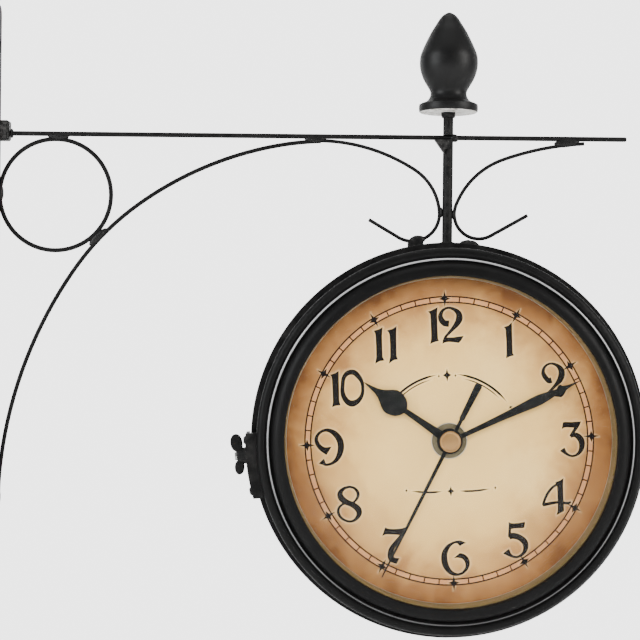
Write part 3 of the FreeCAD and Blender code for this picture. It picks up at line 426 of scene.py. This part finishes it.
# ------------------------------------------------------------------ numerals
# Broad pen numerals, drawn in their own cells: ('s', [(x, y, width)...]) is a pen stroke, ('c', ...) a closed one,
# ('p', [(x, y)...]) a filled outline.  Ten units are about half a millimetre.
STEM = [(48, 98), (66, 96), (130, 62), (124, 110), (127, 200), (130, 300), (134, 372), (143, 383), (118, 392),
        (92, 398), (68, 412), (78, 372), (78, 300), (74, 200), (70, 125), (62, 108)]
GLYPHS = {
    12: ((424, 304, 10.0), [
        ("p", STEM),
        ("s", [(250, 217, 52), (205, 212, 48), (175, 180, 44), (164, 140, 34), (180, 95, 20), (215, 66, 12),
               (260, 60, 13), (310, 80, 26), (345, 115, 44), (352, 165, 54), (330, 215, 44), (290, 265, 26),
               (245, 315, 16), (215, 350, 13), (196, 398, 12)]),
        ("p", [(188, 410), (208, 366), (240, 360), (290, 360), (340, 352), (388, 345), (366, 380), (345, 403),
               (300, 396), (250, 392), (215, 396)])]),
    1: ((496, 320, 10.45), [
        ("p", [(88, 98), (130, 85), (158, 55), (157, 110), (158, 150), (162, 250), (166, 370), (178, 385), (140, 395),
               (108, 412), (114, 370), (112, 250), (106, 140), (102, 112)])]),
    2: ((532, 358, 10.0), [
        ("s", [(192, 238, 46), (160, 245, 38), (116, 190, 34), (108, 150, 22), (122, 110, 14), (155, 82, 10),
               (200, 75, 11), (250, 95, 24), (285, 135, 46), (292, 185, 52), (272, 240, 44), (235, 285, 24),
               (195, 330, 15), (160, 365, 13), (138, 402, 12)]),
        ("p", [(128, 412), (150, 368), (185, 362), (235, 364), (285, 354), (330, 347), (310, 382), (288, 404),
               (240, 398), (190, 394), (155, 398)])]),
    3: ((552, 418, 10.0), [
        ("p", [(98, 120), (110, 65), (130, 62), (190, 64), (235, 60), (278, 57), (262, 84), (246, 110), (190, 106),
               (130, 104), (112, 108)]),
        ("s", [(268, 66, 14), (238, 112, 20), (205, 160, 18), (180, 202, 14)]),
        ("s", [(180, 200, 20), (218, 184, 32), (256, 200, 46), (287, 240, 50), (294, 290, 44), (281, 340, 30),
               (250, 378, 16), (205, 396, 10), (162, 386, 12), (125, 362, 20)]),
        ("p", [(84, 345), (118, 320), (138, 364), (128, 374)])]),
    4: ((536, 476, 10.45), [
        ("p", [(205, 82), (245, 70), (278, 46), (272, 110), (276, 230), (280, 330), (281, 378), (250, 394),
               (216, 416), (230, 370), (228, 290), (225, 180), (222, 120), (210, 104)]),
        ("s", [(226, 100, 14), (172, 130, 14), (122, 190, 16), (92, 250, 15), (68, 320, 15)]),
        ("s", [(66, 318, 20), (110, 308, 22), (170, 296, 19), (225, 290, 14), (290, 295, 16), (332, 298, 16),
               (360, 282, 7)])]),
    5: ((498, 518, 10.45), [
        ("p", [(113, 62), (130, 74), (170, 76), (215, 72), (274, 60), (270, 88), (266, 110), (215, 114), (170, 116),
               (132, 124), (116, 130)]),
        ("s", [(121, 112, 15), (119, 170, 17), (116, 215, 20)]),
        ("s", [(112, 214, 46), (140, 200, 50), (178, 202, 52), (230, 222, 50), (274, 262, 52), (287, 312, 44),
               (274, 362, 28), (240, 400, 16), (190, 421, 12), (142, 410, 18), (108, 388, 28)]),
        ("p", [(60, 382), (110, 344), (134, 398), (112, 408)])]),
    6: ((436, 536, 10.45), [
        ("p", [(306, 84), (250, 64), (206, 68), (252, 112), (266, 98)]),
        ("s", [(262, 80, 22), (212, 76, 12), (166, 92, 16), (121, 130, 34), (91, 190, 46), (86, 250, 54),
               (101, 320, 52), (141, 380, 38), (191, 410, 24), (241, 412, 14), (286, 390, 16), (321, 345, 24),
               (329, 295, 36), (311, 250, 42), (276, 222, 40), (244, 214, 34)]),
        ("p", [(194, 239), (248, 197), (276, 206), (262, 240), (228, 232)])]),
    7: ((378, 522, 10.0), [
        ("p", [(78, 72), (95, 85), (170, 90), (240, 82), (282, 68), (268, 104), (258, 138), (240, 138), (170, 133),
               (80, 130), (50, 146)]),
        ("s", [(262, 112, 30), (228, 166, 34), (180, 220, 32), (141, 275, 40), (126, 330, 46), (135, 374, 50),
               (158, 398, 42)]),
        ("p", [(128, 405), (184, 424), (208, 378), (176, 378), (150, 360)])]),
    8: ((330, 482, 10.0), [
        ("s", [(197, 62, 12), (142, 80, 20), (105, 125, 40), (117, 174, 52), (166, 214, 46), (226, 240, 44),
               (276, 275, 52), (295, 320, 44), (275, 370, 26), (230, 404, 14), (175, 404, 12), (120, 375, 14),
               (88, 325, 16), (92, 275, 14), (125, 240, 12), (162, 224, 12)]),
        ("s", [(192, 62, 12), (245, 75, 14), (280, 115, 20), (283, 155, 18), (262, 195, 12), (228, 228, 12)])]),
    9: ((308, 426, 10.0), [
        ("p", [(232, 228), (186, 298), (140, 266), (166, 238)]),
        ("s", [(188, 260, 44), (146, 246, 40), (110, 210, 32), (90, 170, 28), (90, 130, 20), (115, 90, 16),
               (160, 62, 16), (210, 60, 26), (270, 90, 42), (315, 145, 52), (333, 210, 52), (325, 280, 46),
               (295, 345, 32), (250, 385, 18), (200, 402, 14), (162, 398, 16)]),
        ("p", [(120, 390), (162, 350), (182, 406)])]),
    10: ((324, 366, 10.0), [
        ("p", [(75, 110), (110, 100), (145, 78), (145, 160), (148, 260), (150, 370), (162, 405), (120, 408),
               (90, 422), (100, 380), (96, 260), (90, 150), (86, 125)]),
        ("c", [(190, 220, 26), (200, 140, 28), (240, 90, 36), (300, 82, 40), (345, 120, 38), (378, 170, 26),
               (390, 230, 20), (385, 300, 22), (350, 360, 34), (295, 392, 50), (245, 380, 46), (205, 330, 38),
               (188, 270, 30)])]),
    11: ((368, 322, 10.0), [
        ("p", [(68, 112), (110, 100), (142, 82), (135, 150), (138, 260), (142, 370), (158, 398), (115, 405),
               (80, 428), (92, 370), (90, 260), (84, 150), (78, 128)]),
        ("p", [(200, 108), (250, 95), (282, 70), (278, 150), (280, 260), (282, 360), (293, 388), (255, 395),
               (215, 428), (230, 370), (230, 260), (224, 150), (215, 122)])]),
}
TURN = math.radians(0.593)             # the camera's roll, taken out of the dial's drawing


def to_dial(gx, gy, cell):
    """Cell units to dial mm (u right, v up)."""
    x0, y0, s = cell
    px = x0 + gx / s - 449.2
    py = y0 + gy / s - 442.4
    u, v = px * 0.51, -py * 0.51
    c, sn = math.cos(TURN), math.sin(TURN)
    return u * c - v * sn, u * sn + v * c


def stroke_outline(pts, cell, closed=False):
    C = catmull(pts, 9, closed)
    n = len(C)
    xy = C[:, :2]
    w = np.maximum(C[:, 2], 4.0) + 13.0
    if closed:
        d = np.roll(xy, -1, 0) - np.roll(xy, 1, 0)
    else:
        d = np.gradient(xy, axis=0)
    d /= np.linalg.norm(d, axis=1)[:, None] + 1e-9
    nr = np.c_[-d[:, 1], d[:, 0]]
    L = xy + nr * w[:, None] / 2
    R = xy - nr * w[:, None] / 2
    L = [to_dial(x, y, cell) for x, y in L]
    R = [to_dial(x, y, cell) for x, y in R]
    return L, R


def grown(pts, by):
    """The outline pushed outwards by that many cell units."""
    P = np.array(pts, float)
    e = np.roll(P, -1, 0) - P
    turn = np.sign((P[:, 0] * np.roll(P[:, 1], -1) - np.roll(P[:, 0], -1) * P[:, 1]).sum())
    nr = np.c_[e[:, 1], -e[:, 0]] * turn / (np.linalg.norm(e, axis=1)[:, None] + 1e-9)
    a = nr + np.roll(nr, 1, 0)
    a /= np.linalg.norm(a, axis=1)[:, None] + 1e-9
    k = np.clip(1.0 / np.maximum((a * nr).sum(1), 0.55), 1.0, 1.8)[:, None]
    return [tuple(q) for q in P + a * k * by]


class Sheet:
    """Thin closed solids lying on the dial, gathered into one mesh."""

    def __init__(self):
        self.v = []
        self.f = []
        self.samples = []

    def _prism(self, loop_tris, pts, lo, hi):
        k = len(self.v)
        n = len(pts)
        for z in (lo, hi):
            for u, v in pts:
                self.v.append((u, v, z))
        for tri in loop_tris:
            a, b, c = (k + i for i in tri)
            self.f.append((a + n, b + n, c + n))
            self.f.append((c, b, a))
        for i in range(n):
            j = (i + 1) % n
            self.f.append((k + i, k + j, k + j + n, k + i + n))

    def outline(self, pts, lo, hi, sample=False):
        area = sum(pts[i][0] * pts[(i + 1) % len(pts)][1] - pts[(i + 1) % len(pts)][0] * pts[i][1]
                   for i in range(len(pts)))
        if area < 0:
            pts = pts[::-1]
        tris = tessellate_polygon([[Vector((u, v, 0)) for u, v in pts]])
        good = []
        for t in tris:
            a, b, c = (pts[i] for i in t)
            s = (b[0] - a[0]) * (c[1] - a[1]) - (c[0] - a[0]) * (b[1] - a[1])
            good.append(tuple(t) if s > 0 else (t[0], t[2], t[1]))
        self._prism(good, pts, lo, hi)
        if sample:
            for i in range(len(pts)):
                a, b = np.array(pts[i]), np.array(pts[(i + 1) % len(pts)])
                m = max(2, int(np.linalg.norm(b - a) / 0.4))
                for t in np.linspace(0, 1, m, endpoint=False):
                    self.samples.append(a + (b - a) * t)

    def strip(self, L, R, lo, hi, closed=False, sample=False):
        k = len(self.v)
        n = len(L)
        for (u, v) in L:
            self.v.append((u, v, lo))
        for (u, v) in R:
            self.v.append((u, v, lo))
        for (u, v) in L:
            self.v.append((u, v, hi))
        for (u, v) in R:
            self.v.append((u, v, hi))
        m = n if closed else n - 1
        a = np.array(L[1]) - np.array(L[0])
        b = np.array(R[0]) - np.array(L[0])
        flip = (a[0] * b[1] - a[1] * b[0]) > 0
        for i in range(m):
            j = (i + 1) % n
            quads = [(k + 2 * n + i, k + 2 * n + j, k + 3 * n + j, k + 3 * n + i),
                     (k + i, k + n + i, k + n + j, k + j),
                     (k + i, k + j, k + 2 * n + j, k + 2 * n + i),
                     (k + n + j, k + n + i, k + 3 * n + i, k + 3 * n + j)]
            for q in quads:
                self.f.append(q if flip else q[::-1])
        if not closed:
            for q in ((k, k + 2 * n, k + 3 * n, k + n),
                      (k + n - 1, k + 2 * n - 1, k + 4 * n - 1, k + 3 * n - 1)):
                self.f.append(q if flip else q[::-1])
        if sample:
            self.samples += [np.array(p) for p in L] + [np.array(p) for p in R]
            self.samples += [(np.array(p) + np.array(q)) / 2 for p, q in zip(L, R)]

    def ring(self, r0, r1, lo, hi, seg=360, a0=0.0, a1=360.0):
        full = abs(a1 - a0) >= 360
        t = np.radians(np.linspace(a0, a1, seg + (0 if full else 1), endpoint=not full))
        L = [(r0 * math.sin(a), r0 * math.cos(a)) for a in t]
        R = [(r1 * math.sin(a), r1 * math.cos(a)) for a in t]
        self.strip(L, R, lo, hi, full)


def place(pts, front):
    """Dial mm (u, v, height above the dial) to row metres."""
    out = []
    for u, v, h in pts:
        if front:
            out.append((HX + u * MM, DIAL_Y - h * MM, HZ + v * MM))
        else:
            out.append((HX - u * MM, -DIAL_Y + h * MM, HZ + v * MM))
    return out


num = Sheet()
for k, (cell, parts) in GLYPHS.items():
    lift = 0.0
    for kind, pts in parts:
        lo, hi = 0.055, 0.085 + lift
        if kind == "p":
            num.outline([to_dial(x, y, cell) for x, y in grown(pts, 6.5)], lo, hi, True)
        else:
            L, R = stroke_outline(pts, cell, kind == "c")
            num.strip(L, R, lo, hi, kind == "c", True)
        lift += 0.004

DIAL_TURN = math.radians(2.46)       # the print sits this far anticlockwise


def turned(pts, a):
    c, s = math.cos(a), math.sin(a)
    return [(u * c - v * s, u * s + v * c) for u, v in pts]


trk = Sheet()
trk.ring(70.02, 70.76, 0.055, 0.075, 720)
trk.ring(72.90, 73.64, 0.055, 0.075, 720)
ink = Sheet()
for i in range(60):
    a = -math.radians(i * 6) + DIAL_TURN
    w = 0.32 if i % 5 else 0.38
    r0, r1 = (70.4, 73.2)
    trk.outline(turned([(-w, r0), (w, r0), (w, r1), (-w, r1)], a), 0.055, 0.079)
for i in range(12):
    a = -math.radians(i * 30) + DIAL_TURN
    big, side, core = 4.3, 3.2, 1.20
    pts = []
    for q in range(4):
        t = q * math.pi / 2
        tip = big if q % 2 == 0 else side
        pts.append((tip * math.sin(t), tip * math.cos(t)))
        for f, rr in ((0.25, 1.28), (0.5, 0.98), (0.75, 1.28)):
            tt = t + f * math.pi / 2
            pts.append((core * rr * math.sin(tt), core * rr * math.cos(tt)))
    pts = [(x, y + 72.2) for x, y in pts]
    ink.outline(turned(pts, a), 0.055, 0.092, True)

# generic ornament where the dial's wording is left out: a thin arched rule with lozenges, a short rule below
orn = Sheet()


def lozenge(u, v, w, h, a=0.0):
    pts = [(0, h), (w * 0.30, h * 0.30), (w, 0), (w * 0.30, -h * 0.30), (0, -h), (-w * 0.30, -h * 0.30), (-w, 0),
           (-w * 0.30, h * 0.30)]
    pts = [(x + u, y + v) for x, y in turned(pts, a)]
    orn.outline(turned(pts, DIAL_TURN), 0.055, 0.085, True)


def rule(pts, w):
    C = catmull(pts, 12)
    d = np.gradient(C, axis=0)
    d /= np.linalg.norm(d, axis=1)[:, None]
    nr = np.c_[-d[:, 1], d[:, 0]]
    n = len(C)
    taper = np.clip(np.minimum(np.arange(n), np.arange(n)[::-1]) / (n * 0.22), 0.12, 1.0)[:, None]
    L = turned([tuple(p) for p in C + nr * w * taper / 2], DIAL_TURN)
    R = turned([tuple(p) for p in C - nr * w * taper / 2], DIAL_TURN)
    orn.strip(L, R, 0.055, 0.082, False, True)


ARC_C, ARC_R = -3.0, 37.0
for s in (-1, 1):
    rule([(s * ARC_R * math.sin(math.radians(t)), ARC_C + ARC_R * math.cos(math.radians(t)))
          for t in (8, 16, 26, 36, 46, 54)], 1.15)
    rule([(s * (ARC_R - 1.7) * math.sin(math.radians(t)), ARC_C + (ARC_R - 1.7) * math.cos(math.radians(t)))
          for t in (13, 22, 31, 40, 48)], 0.62)
    t = math.radians(59)
    lozenge(s * ARC_R * math.sin(t), ARC_C + ARC_R * math.cos(t), 0.9, 1.5, -s * t)
lozenge(0, ARC_C + ARC_R - 0.6, 2.2, 3.4)
lozenge(-4.2, ARC_C + ARC_R - 1.0, 0.7, 1.0, 0.0)
lozenge(4.2, ARC_C + ARC_R - 1.0, 0.7, 1.0, 0.0)
for s in (-1, 1):
    rule([(s * 4.4, -25.6), (s * 9, -25.9), (s * 14, -25.7), (s * 20, -25.0)], 1.00)
    lozenge(s * 22.6, -24.6, 0.8, 1.1)
lozenge(0, -25.6, 1.9, 2.8)


def face_disc(front):
    """The printed sheet on the dial, with a halo value worked out from the ink's outlines."""
    name = "front_dial_face" if front else "rear_dial_face"
    rs = np.concatenate([np.linspace(9.2, 30, 22), np.linspace(30.9, 78.4, 66), np.linspace(79.2, 82.75, 4)])
    nt_ = 480
    th = np.linspace(0, 2 * np.pi, nt_, endpoint=False)
    U = (rs[:, None] * np.sin(th)[None, :]).ravel()
    Vv = (rs[:, None] * np.cos(th)[None, :]).ravel()
    pts = np.c_[U, Vv]
    S = np.array(num.samples + orn.samples + ink.samples)
    reach = np.ones(len(S))
    reach[-len(ink.samples):] = 1.8 ** 2      # the stars' halo is the smaller one
    best = np.full(len(pts), 1e9)
    for i in range(0, len(S), 128):
        chunk = S[i:i + 128]
        d = (((pts[:, None, :] - chunk[None, :, :]) ** 2).sum(2) * reach[None, i:i + 128]).min(1)
        best = np.minimum(best, d)
    best = np.sqrt(best)
    halo = np.clip(1.0 - (best - 0.25) / 0.85, 0.0, 1.0) ** 1.4
    verts = place([(u, v, 0.045) for u, v in pts], front)
    faces = []
    for i in range(len(rs) - 1):
        for j in range(nt_):
            j2 = (j + 1) % nt_
            a, b, c, d = i * nt_ + j, i * nt_ + j2, (i + 1) * nt_ + j2, (i + 1) * nt_ + j
            faces.append((a, d, c, b) if front else (a, b, c, d))
    ob = add_mesh(name, verts, faces, MAT["dial_f" if front else "dial_r"], "front_door" if front else "bracket", False)
    at = ob.data.attributes.new("halo", "FLOAT", "POINT")
    at.data.foreach_set("value", halo.astype(np.float32))
    return ob


def fix_normals(ob):
    bm = bmesh.new()
    bm.from_mesh(ob.data)
    bmesh.ops.recalc_face_normals(bm, faces=bm.faces)
    bm.to_mesh(ob.data)
    bm.free()


for front in (True, False):
    pre = "front_" if front else "rear_"
    body = "front_door" if front else "bracket"
    face_disc(front)
    for nm, sh, mt in (("numerals", num, "ink"), ("minute_track", trk, "ink_brown"), ("hour_stars", ink, "ink"),
                       ("dial_ornament", orn, "ink")):
        ob = add_mesh(pre + nm, place(sh.v, front), sh.f, MAT[mt], body, False)
        fix_normals(ob)


# ------------------------------------------------------------------ weld lumps
def weld_lumps():
    """Each lump of the CAD node as run metal: tapered, uneven, inside the lump it stands for."""
    me = nodes["weld_beads"].data
    P = np.empty(len(me.vertices) * 3)
    me.vertices.foreach_get("co", P)
    P = P.reshape(-1, 3)
    P = np.array([tuple(nodes["weld_beads"].matrix_world @ Vector(q)) for q in P])
    root = list(range(len(P)))

    def find(i):
        while root[i] != i:
            root[i] = root[root[i]]
            i = root[i]
        return i

    seen = {}
    for i, q in enumerate(np.round(P, 7)):
        k = tuple(q)
        if k in seen:
            root[find(i)] = find(seen[k])
        else:
            seen[k] = i
    for e in me.edges:
        root[find(e.vertices[0])] = find(e.vertices[1])
    groups = {}
    for i in range(len(P)):
        groups.setdefault(find(i), []).append(i)
    v, f = [], []
    nu, nw = 44, 32
    for g in sorted(groups.values(), key=lambda g: tuple(P[g].mean(0).round(5))):
        Q = P[g]
        lo, hi = Q.min(0), Q.max(0)
        cen = (lo + hi) / 2
        # long axis in the plane of the bracket
        C2 = np.cov((Q - cen)[:, [0, 2]].T)
        val, vec = np.linalg.eigh(C2)
        ax = np.array([vec[0, 1], 0.0, vec[1, 1]])
        side = np.array([-ax[2], 0.0, ax[0]])
        dep = np.array([0.0, 1.0, 0.0])
        ext = []
        for d in (ax, side, dep):
            t = (Q - cen) @ d
            ext.append(((t.max() + t.min()) / 2, (t.max() - t.min()) / 2))
        cen = cen + ax * ext[0][0] + side * ext[1][0] + dep * ext[2][0]
        k = len(v)
        for i in range(nu + 1):
            s_ = math.cos(math.pi * i / nu)
            fat = max(1.0 - abs(s_) ** 2.4, 0.0) ** 0.62
            for j in range(nw):
                a = 2 * math.pi * j / nw
                q = ax * ext[0][1] * s_ + (side * ext[1][1] * math.cos(a) + dep * ext[2][1] * math.sin(a)) * fat
                w_ = Vector(cen + q)
                n1 = noise.noise(w_ * 520.0) * 0.5 + 0.5
                n2 = noise.noise(w_ * 1500.0) * 0.5 + 0.5
                q = q * (0.84 + 0.11 * n1 + 0.05 * n2)
                v.append(tuple(np.clip(cen + q, lo, hi)))
        for i in range(nu):
            for j in range(nw):
                j2 = (j + 1) % nw
                f.append((k + i * nw + j, k + i * nw + j2, k + (i + 1) * nw + j2, k + (i + 1) * nw + j))
    ob = add_mesh("weld_lumps", v, f, MAT["weld"], "bracket", True, 70)
    fix_normals(ob)
    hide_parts("weld_beads")
    return len(groups)


print("weld lumps", weld_lumps())


# ------------------------------------------------------------------ centre cap (brass disc over the hands' pin)
def lathe(profile, axis_pt, axis, seg=96):
    """profile: (radius, along) in mm; turned about axis through axis_pt."""
    ax = Vector(axis).normalized()
    ref = Vector((0, 0, 1)) if abs(ax.z) < 0.9 else Vector((1, 0, 0))
    e1 = ax.cross(ref).normalized()
    e2 = ax.cross(e1)
    v, f = [], []
    n = len(profile)
    for j in range(seg):
        a = 2 * math.pi * j / seg
        d = e1 * math.cos(a) + e2 * math.sin(a)
        for r, y in profile:
            v.append(tuple(Vector(axis_pt) + (d * r + ax * y) * MM))
    for j in range(seg):
        j2 = (j + 1) % seg
        for i in range(n - 1):
            f.append((j * n + i, j * n + i + 1, j2 * n + i + 1, j2 * n + i))
    return v, f


for front in (True, False):
    pre = "front_" if front else "rear_"
    y = -34.75 if front else 34.75
    ax = (0, -1, 0) if front else (0, 1, 0)
    prof = [(0.02, 0.72), (1.2, 0.70), (2.6, 0.60), (3.7, 0.44), (4.25, 0.34), (4.55, 0.33), (4.85, 0.52),
            (5.15, 0.66), (5.45, 0.64), (5.68, 0.46), (5.75, 0.2), (5.72, -0.3), (5.2, -0.32), (0.02, -0.32)]
    v, f = lathe([(r * 0.922, h) for r, h in prof], (HX, y * MM, HZ), ax)
    ob = add_mesh(pre + "centre_cap", v, f, MAT["cap"], pre + "seconds", True, 60)
    fix_normals(ob)


# ------------------------------------------------------------------ stage, light, camera
def stage_mat(name, col, rough=0.9):
    m, nt, p = new_mat(name)
    co = coords(nt)
    a = tex(nt, co, 3.0, 2.0, 0.5)
    link(nt, ramp(nt, a, [(0.3, tuple(c * 0.985 for c in col)), (0.7, col)]), p.inputs["Base Color"])
    p.inputs["Roughness"].default_value = rough
    # glows for the eye only, so that the black object isn't lit from behind
    ray = node(nt, "ShaderNodeLightPath")
    glow = node(nt, "ShaderNodeEmission")
    glow.inputs["Color"].default_value = (1.0, 1.0, 1.0, 1.0)
    glow.inputs["Strength"].default_value = 3.5
    sw = node(nt, "ShaderNodeMixShader")
    link(nt, ray.outputs["Is Camera Ray"], sw.inputs[0])
    link(nt, p.outputs[0], sw.inputs[1])
    link(nt, glow.outputs[0], sw.inputs[2])
    link(nt, sw.outputs[0], nt.nodes["Material Output"].inputs["Surface"])
    return m


def cyclorama():
    prof = [(-3.0, -0.34), (0.9, -0.34)]
    for k in range(1, 13):
        a = math.radians(90 * k / 12)
        prof.append((0.9 + 0.6 * math.sin(a), -0.34 + 0.6 * (1 - math.cos(a))))
    prof.append((1.5, 3.2))
    v, f = [], []
    for i, (y, z) in enumerate(prof):
        v += [(-3.5, y, z), (4.0, y, z)]
        if i:
            k = 2 * i
            f.append((k - 2, k - 1, k + 1, k))
    me = bpy.data.meshes.new("backdrop")
    me.from_pydata(v, [], f)
    for poly in me.polygons:
        poly.use_smooth = True
    me.materials.append(stage_mat("backdrop_white", (0.92, 0.92, 0.92)))
    ob = bpy.data.objects.new("backdrop", me)
    scene.collection.objects.link(ob)
    return ob


cyclorama()


def area(name, loc, target, size, energy, col=(1, 1, 1), size_y=None):
    L = bpy.data.lights.new(name, "AREA")
    L.energy = energy
    L.color = col
    L.shape = "RECTANGLE"
    L.size = size
    L.size_y = size_y or size
    o = bpy.data.objects.new(name, L)
    scene.collection.objects.link(o)
    o.location = loc
    d = Vector(target) - Vector(loc)
    o.rotation_euler = d.to_track_quat("-Z", "Y").to_euler()
    return o


w = bpy.data.worlds.new("world")
scene.world = w
w.use_nodes = True
bg = w.node_tree.nodes["Background"]
bg.inputs["Color"].default_value = (0.95, 0.97, 1.0, 1.0)
bg.inputs["Strength"].default_value = 0.22

area("key_right", (HX + 1.50, -0.85, HZ + 0.65), (HX, 0, HZ), 0.8, 36.0, (1.0, 0.985, 0.96), 1.2)
area("fill_left", (HX - 1.50, -0.85, HZ + 0.55), (HX, 0, HZ), 0.8, 35.0, (0.97, 0.985, 1.0), 1.2)
soft = area("front_soft", (HX - 0.1, -2.3, HZ + 0.9), (HX, 0, HZ), 1.8, 112.0, (1, 1, 1), 1.2)
soft.visible_glossy = False          # lights the dial without a sheen on the black paint
area("top_soft", (0.2, -0.1, 1.5), (0.2, 0, 0), 1.2, 10.0)

cam_data = bpy.data.cameras.new("camera")
cam_data.sensor_width = 36.0
cam_data.lens = 36.0 * 1600.0 / 640.0
cam_data.clip_start = 0.01
cam_data.clip_end = 50.0
cam = bpy.data.objects.new("camera", cam_data)
scene.collection.objects.link(cam)
scene.camera = cam
# level, square to the dial, left of the head's middle; the picture leans clockwise a little
cam.location = (0.1740, -0.8406, -0.0294)
roll = math.radians(-0.593)
look = Vector((0.0, 1.0, 0.0))
up2 = Matrix.Rotation(roll, 3, look) @ Vector((0, 0, 1))
right2 = Matrix.Rotation(roll, 3, look) @ Vector((1, 0, 0))
cam.rotation_mode = "QUATERNION"
cam.rotation_quaternion = Matrix((right2, up2, -look)).transposed().to_quaternion()
